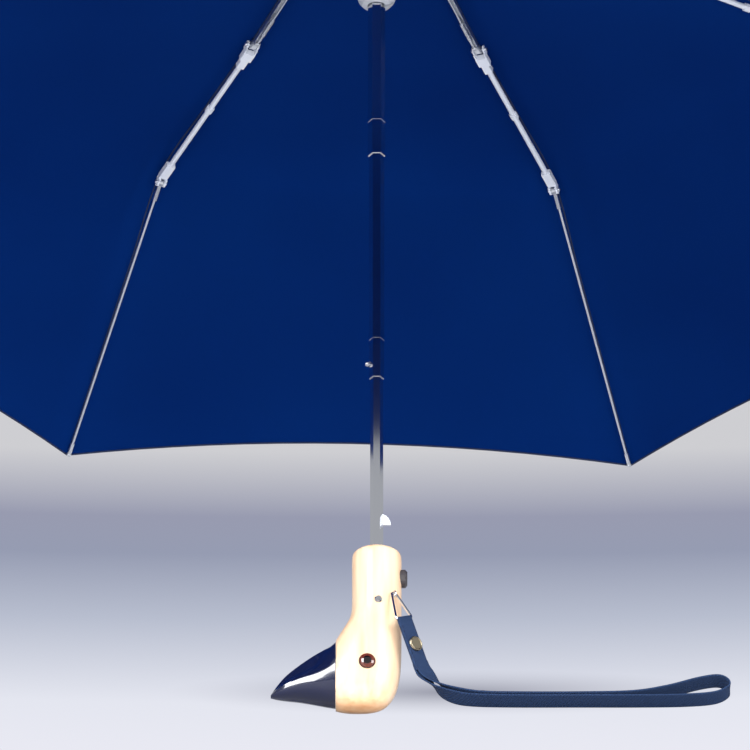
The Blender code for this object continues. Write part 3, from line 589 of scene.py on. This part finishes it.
def cloth_normal(k, row, w):
    """The upward normal: the step outwards crossed with the step to the left, over any seam."""
    at_rib = w == 0
    left = cloth_point(k, row, np.minimum(w + NORMAL_STEP, 1))
    back = np.where(at_rib, 1 - NORMAL_STEP, np.maximum(0.0, w - NORMAL_STEP))
    right = cloth_point(np.where(at_rib, k - 1, k), row, back)
    outer, inner = cloth_point(k, row + 1, w), cloth_point(k, row - 1, w)
    normal = np.cross(outer - inner, left - right)
    return normal / np.linalg.norm(normal, axis=-1, keepdims=True)


def gore_spots(k, columns):
    """The gore and w of each column from mid gore, over rib k, to the next mid gore."""
    gores = np.repeat([k - 1, k], [columns, columns + 1])
    halves = 0.5 * np.arange(columns + 1) / columns
    return gores, np.concatenate([0.5 + halves[:-1], halves])


print(f"gores of {math.degrees(2 * HALF_GORE):.0f} degrees")

# %% [markdown]
# ## Strips of cloth
# The cloth has to fold with the ribs. It is cut into a strip for each rib, from mid gore to
# mid gore, in three lengths, and each length rides on its part of the chain.

# %%
CLOTH_THICKNESS = 0.35
STRIP_COLUMNS = 7
SEGMENTS = (("top", 0, knee_row), ("middle", knee_row, elbow_row), ("end", elbow_row, last_row))


def strip(name, k, first, last):
    """Cloth over rib k: the surface, the same lifted along its normals, and walls between."""
    gores, shares = gore_spots(k, STRIP_COLUMNS)
    row = np.arange(first, last + 1)[:, None]
    lower = cloth_point(gores, row, shares)
    normals = cloth_normal(gores, row, shares)
    upper = lower + normals * CLOTH_THICKNESS
    rows, columns = lower.shape[:2]
    index = np.arange(rows * columns).reshape(rows, columns)
    edge = np.concatenate([index[0], index[1:, -1], index[-1, -2::-1], index[-2:0:-1, 0]])
    ahead = np.roll(edge, -1)
    walls = np.column_stack([ahead, edge, index.size + edge, index.size + ahead])
    sheet = grid_faces(rows, columns)
    faces = np.vstack([sheet, index.size + sheet[:, ::-1], walls])
    points = np.concatenate([lower, upper]).reshape(-1, 3)
    piece = new_piece(name, points, faces.tolist(), CLOTH)
    if piece.data.polygons[0].normal.dot(Vector(normals[0, 0])) > 0:
        piece.data.flip_normals()
    all_normals = np.concatenate([-normals, normals]).reshape(-1, 3)
    piece.data.normals_split_custom_set_from_vertices(all_normals.tolist())
    # Rounded as the mesh stores them.
    return piece, lower.astype(np.float32).astype(float)


for k in range(RIB_COUNT):
    for label, first, last in SEGMENTS:
        piece, grid = strip(f"cloth_{label}_{k + 1}", k, first, last)
        anchor = Vector(in_space(k, crown_pivot)) * MM
        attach(piece, f"{label}_arm_{k + 1}")
        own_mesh(piece)
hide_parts("canopy")

# %% [markdown]
# ## Seams and hem
# Gores are sewn together over each rib, and the edge is turned up and sewn. Both are thin
# wires here. A seam runs along its rib and rides on it. The hem crosses a whole strip, so
# it has to gather with the cloth, and is made a mesh first.

# %%
SEAM_DROP, SEAM_RADIUS = 0.25, 0.55
HEM_COLUMNS, HEM_RADIUS = 8, 0.6


def as_mesh(piece):
    """Turns a curve object into a mesh object, in place."""
    bpy.ops.object.select_all(action="DESELECT")
    piece.select_set(True)
    bpy.context.view_layer.objects.active = piece
    bpy.ops.object.convert(target="MESH")


for k in range(RIB_COUNT):
    for label, first, last in SEGMENTS:
        path = cloth_point(k, np.arange(first, last + 1), 0.0) - (0, 0, SEAM_DROP)
        seam = tube(f"seam_{label}_{k + 1}", path, SEAM_RADIUS, DARK_THREAD)
        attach(seam, f"{label}_arm_{k + 1}")
    gores, shares = gore_spots(k, HEM_COLUMNS)
    hem = tube(f"hem_{k + 1}", cloth_point(gores, last_row, shares), HEM_RADIUS, DARK_THREAD)
    as_mesh(hem)
    anchor = Vector(in_space(k, crown_pivot)) * MM
    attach(hem, f"end_arm_{k + 1}")
    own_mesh(hem)
print(f"{RIB_COUNT * len(SEGMENTS)} seams and {RIB_COUNT} hems")

# %% [markdown]
# ## The duck's head
# The handle is one piece of turned wood: a neck that swells into a head. It is a loft through
# level sections, each given by its height, its front and back edges and its half width. A
# section is a circle on the neck and a fuller oval in the head, and its front is cut flat
# where the beak is joined on.

# %%
HANDLE_TOP = 100.5
WOOD_SECTIONS = (
    (0, -17, -5, 4.5),
    (1, -23, 1.5, 9),
    (2.8, -28, 5.8, 11.8),
    (7.3, -31, 9.4, 14.2),
    (12.9, -32, 11.8, 15.4),
    (21, -31, 13.4, 16),
    (29, -29, 14, 16),
    (37, -26, 14.2, 15.7),
    (44, -22.3, 14.3, 15.3),
    (50.3, -18.6, 14.3, 14.9),
    (56.6, -15.6, 14.3, 14.6),
    (64, -14.3, 14.3, 14.4),
    (80, -14.2, 14.3, 14.3),
    (95, -14.2, 14.3, 14.3),
    (98.5, -13.1, 13.1, 13.1),
    (HANDLE_TOP, -9.5, 9.5, 9.5),
)
BEAK_JOINT = -23.5
FULLNESS = 0.82
NECK_FROM, NECK_BLEND = 66, 16
WOOD_SIDES = 72
WOOD_CREASE, BEAK_CREASE = 50, 40


def full_round(angle, fullness):
    """Cosine and sine, each raised to a power with its sign kept: under 1, a squarer round."""
    c, s = np.cos(angle), np.sin(angle)
    return np.copysign(np.abs(c) ** fullness, c), np.copysign(np.abs(s) ** fullness, s)


def loft(name, rings, material):
    """A closed solid through rings of points, with a flat face on the first and last ring."""
    rows, columns = rings.shape[:2]
    faces = grid_faces(rows, columns, round_columns=True).tolist()
    faces.append(list(reversed(range(columns))))
    faces.append(list(range((rows - 1) * columns, rows * columns)))
    return new_piece(name, rings.reshape(-1, 3), faces, material)


z, front, back, half = smooth_path(WOOD_SECTIONS, 5).T[:, :, None]
fullness = 1 - (1 - FULLNESS) * np.clip((NECK_FROM - z) / NECK_BLEND, 0, 1)
c, s = full_round(math.tau * np.arange(WOOD_SIDES) / WOOD_SIDES, fullness)
x = np.maximum(BEAK_JOINT, (front + back) / 2 + (back - front) / 2 * c)
wood = loft("duck_head", grid_points(x, half * s, z), MAPLE)
wood.data.set_sharp_from_angle(angle=math.radians(WOOD_CREASE))
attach(wood, "handle")
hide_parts("handle_body")
print(f"duck_head: {len(z)} rings of {WOOD_SIDES} points")

# %% [markdown]
# ## The beak
# The beak is a separate lacquered piece, so that its gloss ends in a clean line on the wood.
# Its sections are upright. The first matches the head's round section, and towards the tip
# they turn into a sharp one: a ridge on top, hollow flanks, an edge at the mouth, a round jaw.

# %%
BEAK_SECTIONS = (
    (-22.0, 42.5, 1.2, 14.1),
    (-30.0, 37.5, 2.5, 12.5),
    (-37.0, 33.0, 3.8, 11.0),
    (-44.4, 27.4, 5.0, 9.3),
    (-51.7, 21.0, 5.6, 7.0),
    (-56.9, 14.5, 6.2, 4.5),
    (-60.6, 8.6, 6.8, 1.5),
)
FLANK = ((1, 0), (0.8, 0.2), (0.42, 0.45), (0.16, 0.8), (0, 1))
JAW = ((0, -1), (0.32, -0.97), (0.7, -0.8), (0.94, -0.45), (1, 0))
MOUTH_SHARE = 0.45
SHARPEN_OVER = 14
BEAK_RINGS, BEAK_GAP = 40, 0.1

half_ring = np.vstack([smooth_path(JAW, 4)[:-1], smooth_path(FLANK, 4)])
y, z = np.vstack([half_ring, half_ring[-2:0:-1]]).T
side = np.repeat([1, -1], [len(half_ring), len(half_ring) - 2])
c, s = full_round(np.arctan2(z, y), FULLNESS)

beak_line = smooth_path(BEAK_SECTIONS, 6)[::-1]
x = np.linspace(BEAK_JOINT - BEAK_GAP, BEAK_SECTIONS[-1][0], BEAK_RINGS)[:, None]
top, foot, half = (np.interp(x, beak_line[:, 0], beak_line[:, i]) for i in (1, 2, 3))
sharp = np.minimum(1, (BEAK_SECTIONS[0][0] - x) / SHARPEN_OVER)
mouth = foot + (top - foot) * MOUTH_SHARE
round_z = (top + foot) / 2 + (top - foot) / 2 * s
sharp_z = mouth + z * np.where(z > 0, top - mouth, mouth - foot)
across = side * half * (c + (y - c) * sharp)
bill = loft("bill", grid_points(x, across, round_z + (sharp_z - round_z) * sharp), LACQUER)
bill.data.set_sharp_from_angle(angle=math.radians(BEAK_CREASE))
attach(bill, "handle")
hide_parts("beak")
print(f"bill: {BEAK_RINGS} rings of {len(side)} points")

# %% [markdown]
# ## Eyes
# Each eye is a flattened glass bead sunk in the wood: a black pupil, a brown ring and a dark
# rim. The distance from the bead's centre picks the colour from a ramp, so no picture and no
# unwrapping is needed. The centre is subtracted in the shader, because the bead's place is in
# its mesh.

# %%
EYE_X, EYE_Z, EYE_BEAD = -5.5, 22.8, 4.9
EYE_SURFACE, EYE_SUNK, EYE_FLATNESS = 15.9, 0.2, 0.42
EYE_STOPS = [
    (0.0, (0.004, 0.002, 0.002)),
    (0.46, (0.006, 0.003, 0.003)),
    (0.56, (0.10, 0.018, 0.010)),
    (0.84, (0.13, 0.030, 0.016)),
    (0.95, (0.03, 0.008, 0.006)),
]


def eye_glass():
    material = finish_of("eye_glass", (0.1, 0.02, 0.01), 0.04, Coat_Weight=1.0)
    at = place(material.node_tree)
    x = axis_of(at, 0) - EYE_X * MM
    z = axis_of(at, 2) - EYE_Z * MM
    away = (x * x + z * z).math("SQRT") * (1 / (EYE_BEAD * MM))
    colour_by(material, ramp(away, EYE_STOPS))
    return material


EYE_GLASS = eye_glass()
for side, name in ((-1, "left"), (1, "right")):
    bpy.ops.mesh.primitive_uv_sphere_add(segments=48, ring_count=24, radius=EYE_BEAD * MM)
    bead = bpy.context.object
    bead.name = f"eye_bead_{name}"
    centre = Vector((EYE_X, side * (EYE_SURFACE - EYE_SUNK), EYE_Z)) * MM
    flat = Matrix.Diagonal((1, EYE_FLATNESS, 1, 1))
    bead.data.transform(Matrix.Translation(centre) @ flat)
    bead.data.materials.append(EYE_GLASS)
    bead.data.shade_smooth()
    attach(bead, "handle")
    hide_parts(f"eye_{name}")
print(f"2 beads of {2 * EYE_BEAD} mm")

# %% [markdown]
# ## Wrist strap
# A loop of webbing lies on the floor and runs up to a doubled tab, which is sewn round the
# base of a wire ring. A flat profile with rounded edges is carried along a path. The width's
# direction is given at each point, so that the band can lie flat and then turn into the tab.

# %%
STRAP_WIDTH, STRAP_THICKNESS, TAB_THICKNESS = 11.0, 1.1, 2.3
RING_LEFT = Vector((11.2, -21.4, 46.6))
RING_RIGHT = Vector((20.4, -13.4, 51.2))
RING_CENTRE = (RING_LEFT + RING_RIGHT) / 2
TAB_DOWN = Vector((0.33, 0.25, -0.91)).normalized()
TAB_ACROSS = (RING_RIGHT - RING_LEFT).normalized()
TAB_START = RING_CENTRE + TAB_DOWN * 2.2
LYING_ACROSS = np.array([0, 0.96, -0.28])
TURN_FROM, TURN_OVER, TURN_BEFORE_X = 4, 14, 60
STRAP_Y = -5.0
STRAP_ROUTE = (
    (24.4, -10.2, 24.2),
    (25.7, -9.2, 20.4),
    (28.4, -8.6, 15.4),
    (35.0, -8.0, 8.4),
    (44.0, -6.6, 4.4),
    (56.0, -5.3, 3.0),
    (80.0, STRAP_Y, 2.6),
    (115.0, STRAP_Y, 2.6),
    (150.0, STRAP_Y, 2.6),
    (176.0, STRAP_Y, 3.0),
    (193.0, STRAP_Y, 4.6),
    (200.6, STRAP_Y, 8.6),
    (200.6, STRAP_Y, 12.6),
    (195.0, STRAP_Y, 15.2),
    (184.0, STRAP_Y, 13.6),
    (166.0, STRAP_Y, 8.6),
    (146.0, STRAP_Y, 5.2),
    (115.0, STRAP_Y, 4.4),
    (80.0, STRAP_Y, 4.4),
    (60.0, STRAP_Y, 5.0),
    (46.0, -6.8, 7.2),
    (36.0, -8.8, 11.6),
    (29.6, -9.8, 17.4),
    (26.6, -10.2, 21.4),
    (25.2, -11.0, 24.3),
)
BAND_SIDES, BAND_FULLNESS = 20, 0.35


def unit(vectors):
    return vectors / np.linalg.norm(vectors, axis=1, keepdims=True)


def ribbon(name, path, across, thickness):
    """At each point, a flat squared round in the plane of across and of the band's own up."""
    ahead = unit(np.vstack([path[1:], path[-1:]]) - np.vstack([path[:1], path[:-1]]))
    side = unit(across - ahead * (across * ahead).sum(axis=1, keepdims=True))
    up = np.cross(ahead, side)
    c, s = full_round(math.tau * np.arange(BAND_SIDES) / BAND_SIDES, BAND_FULLNESS)
    wide, thick = c[:, None] * STRAP_WIDTH / 2, s[:, None] * thickness / 2
    return loft(name, path[:, None] + side[:, None] * wide + up[:, None] * thick, WEBBING)


loop_path = smooth_path(STRAP_ROUTE, 8)
turn = np.clip((loop_path[:, 2] - TURN_FROM) / TURN_OVER, 0, 1)
turn = np.where(loop_path[:, 0] < TURN_BEFORE_X, turn, 0)[:, None]
loop_across = LYING_ACROSS + (np.array(TAB_ACROSS) - LYING_ACROSS) * turn
loop = ribbon("webbing_loop", loop_path, loop_across, STRAP_THICKNESS)
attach(loop, "strap")
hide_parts("strap_loop")
loop_length = np.linalg.norm(np.diff(loop_path, axis=0), axis=1).sum()
print(f"webbing_loop: {loop_length:.0f} mm of webbing")

# %% [markdown]
# ## Tab, badge rim and stitches
# The tab is the same band, twice as thick and straight. Its first ring is pulled up over the
# ring's wire. Two rows of short threads run down its edges, and a wire circle rims the snap.

# %%
TAB_LENGTH, TAB_OVER_RING, TAB_STEPS = 29.0, 3.4, 12
BADGE_DOWN, BADGE_OUT, BADGE_RADIUS, BADGE_WIRE = 14, 1.2, 3.9, 0.5
STITCH_ROWS, STITCH_PITCH, STITCH_LENGTH, STITCH_RADIUS = 9, 3.1, 2.1, 0.16


def circle(centre, normal, radius, sides):
    """centre + radius * (cos a, sin a) in the plane square to normal."""
    side = Vector(normal).orthogonal().normalized()
    other = Vector(normal).normalized().cross(side)
    a = math.tau * np.arange(sides + 1)[:, None] / sides
    return np.array(centre) + (np.array(side) * np.cos(a) + np.array(other) * np.sin(a)) * radius


down = TAB_LENGTH * np.arange(TAB_STEPS + 1) / TAB_STEPS
down[0] = -TAB_OVER_RING
tab_path = np.array(TAB_START) + np.outer(down, TAB_DOWN)
tab = ribbon("webbing_tab", tab_path, np.tile(TAB_ACROSS, (len(down), 1)), TAB_THICKNESS)
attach(tab, "strap")
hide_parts("strap_tab")

tab_face = TAB_DOWN.cross(TAB_ACROSS).normalized()
badge_at = TAB_START + TAB_DOWN * BADGE_DOWN + tab_face * (TAB_THICKNESS / 2 + BADGE_OUT)
rim = tube("badge_rim", circle(badge_at, tab_face, BADGE_RADIUS, 32), BADGE_WIRE, BRASS)
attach(rim, "strap")
for letter, share in (("a", -0.42), ("b", 0.42)):
    for row in range(STITCH_ROWS):
        at = TAB_START + TAB_DOWN * (2 + row * STITCH_PITCH) + TAB_ACROSS * STRAP_WIDTH * share
        start = at + tab_face * (TAB_THICKNESS / 2 + 0.02)
        path = [start, start + TAB_DOWN * STITCH_LENGTH]
        stitch = tube(f"stitch_{letter}_{row + 1}", path, STITCH_RADIUS, DARK_THREAD, 4)
        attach(stitch, "strap")
print(f"webbing_tab with {2 * STITCH_ROWS} stitches")

# %% [markdown]
# ## Floor
# The umbrella stands on a pale floor. The camera is below that floor's level, so a plain plane
# would hide the canopy from it. The floor's underside is a transparent shader, chosen by the
# Backfacing value, and the floor casts no shadow on what the low light reaches.

# %%
FLOOR_REACH, FLOOR_BELOW = 6.0, 0.0003


def floor_finish():
    material = finish_of("floor", (0.80, 0.80, 0.82), 0.6)
    tree = material.node_tree
    behind = add_node(tree, "ShaderNodeNewGeometry", {}, {}, "Backfacing")
    clear = add_node(tree, "ShaderNodeBsdfTransparent", {}, {})
    mix_shaders(tree, behind, Socket(tree, principled(material).outputs[0]), clear)
    return material


bpy.ops.mesh.primitive_plane_add(size=2 * FLOOR_REACH, location=(0, 0, -FLOOR_BELOW))
floor = bpy.context.object
floor.name = "floor"
floor.data.materials.append(floor_finish())
floor.visible_shadow = False
print(f"floor {2 * FLOOR_REACH} m wide")

# %% [markdown]
# ## Shadow pool
# With no floor in the camera's view, the handle would float. A small leaning plane behind it
# holds a soft dark pool that fades out to its rim. It shows only to a camera below the floor's
# level, so that views from above have just the floor.

# %%
SHADOW_LEAN = 41.7
SHADOW_SIZE = (0.34, 0.10)
SHADOW_AT = (0.045, 0.060, 0.0395)
SHADOW_FADE, SHADOW_STRENGTH, SEEN_FROM_BELOW = 1.4, 0.62, -0.2


def screen(red, green, blue):
    """Linear light from a screen colour, each part from 0 to 255."""
    return tuple(((part / 255 + 0.055) / 1.055) ** 2.4 for part in (red, green, blue))


def shadow_finish():
    """Strength is (1 - distance from the centre) to a power, and 0 past the rim."""
    material = bpy.data.materials.new("soft_shadow")
    material.use_nodes = True
    tree = material.node_tree
    at = add_node(tree, "ShaderNodeTexCoord", {}, {}, "Generated")
    x = (axis_of(at, 0) - 0.5) * 2
    y = (axis_of(at, 1) - 0.5) * 2
    pool = (1 - (x * x + y * y).math("SQRT")).math("MAXIMUM", 0.0)
    incoming = add_node(tree, "ShaderNodeNewGeometry", {}, {}, "Incoming")
    below = axis_of(incoming, 2).math("LESS_THAN", SEEN_FROM_BELOW)
    strength = pool.math("POWER", SHADOW_FADE) * below * SHADOW_STRENGTH
    clear = add_node(tree, "ShaderNodeBsdfTransparent", {}, {})
    dark = add_node(tree, "ShaderNodeEmission", {}, {"Color": (*screen(70, 72, 100), 1)})
    mix_shaders(tree, strength, clear, dark)
    return material


lean = (math.radians(SHADOW_LEAN), 0, 0)
bpy.ops.mesh.primitive_plane_add(size=1, location=SHADOW_AT, rotation=lean)
shadow_pool = bpy.context.object
shadow_pool.name = "shadow_pool"
shadow_pool.scale = (*SHADOW_SIZE, 1)
shadow_pool.data.materials.append(shadow_finish())
shadow_pool.visible_shadow = False
shadow_pool.visible_glossy = False
shadow_pool.visible_diffuse = False
print(f"shadow pool {SHADOW_SIZE[0]} m wide")

# %% [markdown]
# ## Backdrop
# The camera sees a graded backdrop, darker in the middle: painted shade, the canopy's shadow on a
# pale floor. The world's direction gives the height that picks its colour. Every other ray gets one
# dim colour instead, so that the backdrop's bright bands don't light the umbrella.

# %%
BACKDROP_LOW, BACKDROP_HIGH = 0.42, 0.48
AMBIENT = (0.42, 0.43, 0.46, 1)
# Painted shade: the darker middle stops stand for the canopy's shadow on the floor.
BACKDROP_SHADE_STOPS = [
    (0.0, screen(238, 237, 246)),
    (0.24, screen(228, 230, 240)),
    (0.42, screen(184, 190, 207)),
    (0.56, screen(150, 156, 178)),
    (0.64, screen(152, 155, 176)),
    (0.78, screen(206, 206, 210)),
]
# A Mix node holds sockets for every data type under the same names, so colours go by number.
MIX_A, MIX_B, MIX_RESULT = 6, 7, 2

world = bpy.data.worlds.new("studio")
world.use_nodes = True
bpy.context.scene.world = world
sky = world.node_tree
direction = add_node(sky, "ShaderNodeTexCoord", {}, {}, "Generated")
band = (axis_of(direction, 2) - BACKDROP_LOW) * (1 / (BACKDROP_HIGH - BACKDROP_LOW))
seen = add_node(sky, "ShaderNodeLightPath", {}, {}, "Is Camera Ray")
values = {"Factor": seen, MIX_A: AMBIENT, MIX_B: ramp(band, BACKDROP_SHADE_STOPS)}
colour = add_node(sky, "ShaderNodeMix", {"data_type": "RGBA"}, values, MIX_RESULT)
sky.links.new(colour.output, sky.nodes["Background"].inputs["Color"])
bpy.context.scene.view_settings.view_transform = "Standard"
print(f"backdrop of {len(BACKDROP_SHADE_STOPS)} colours")

# %% [markdown]
# ## Lights
# Four soft boxes, as in a small studio: a key at the left, a fill at the right for the wood,
# one above for the outside of the canopy, and a low one for its inside and the ribs.


# %%
def softbox(name, at, aim, size, watts):
    data = bpy.data.lights.new(name, "AREA")
    data.shape = "RECTANGLE"
    data.size, data.size_y = size
    data.energy = watts
    light = bpy.data.objects.new(name, data)
    turned = (Vector(aim) - Vector(at)).to_track_quat("-Z", "Y").to_matrix().to_4x4()
    light.matrix_world = Matrix.Translation(at) @ turned
    bpy.context.scene.collection.objects.link(light)


softbox("key", (-1.2, -2.0, 0.9), (0, 0, 0.25), (0.8, 1.2), 45)
softbox("fill", (1.6, -1.8, 0.3), (0, 0, 0.15), (1.2, 1.4), 42)
softbox("top", (0.0, 0.4, 2.4), (0, 0, 0.5), (1.6, 1.6), 40)
softbox("low", (0.1, -2.2, -0.9), (0, 0.05, 0.2), (1.6, 0.9), 46)
print(f"{len(bpy.data.lights)} lights")
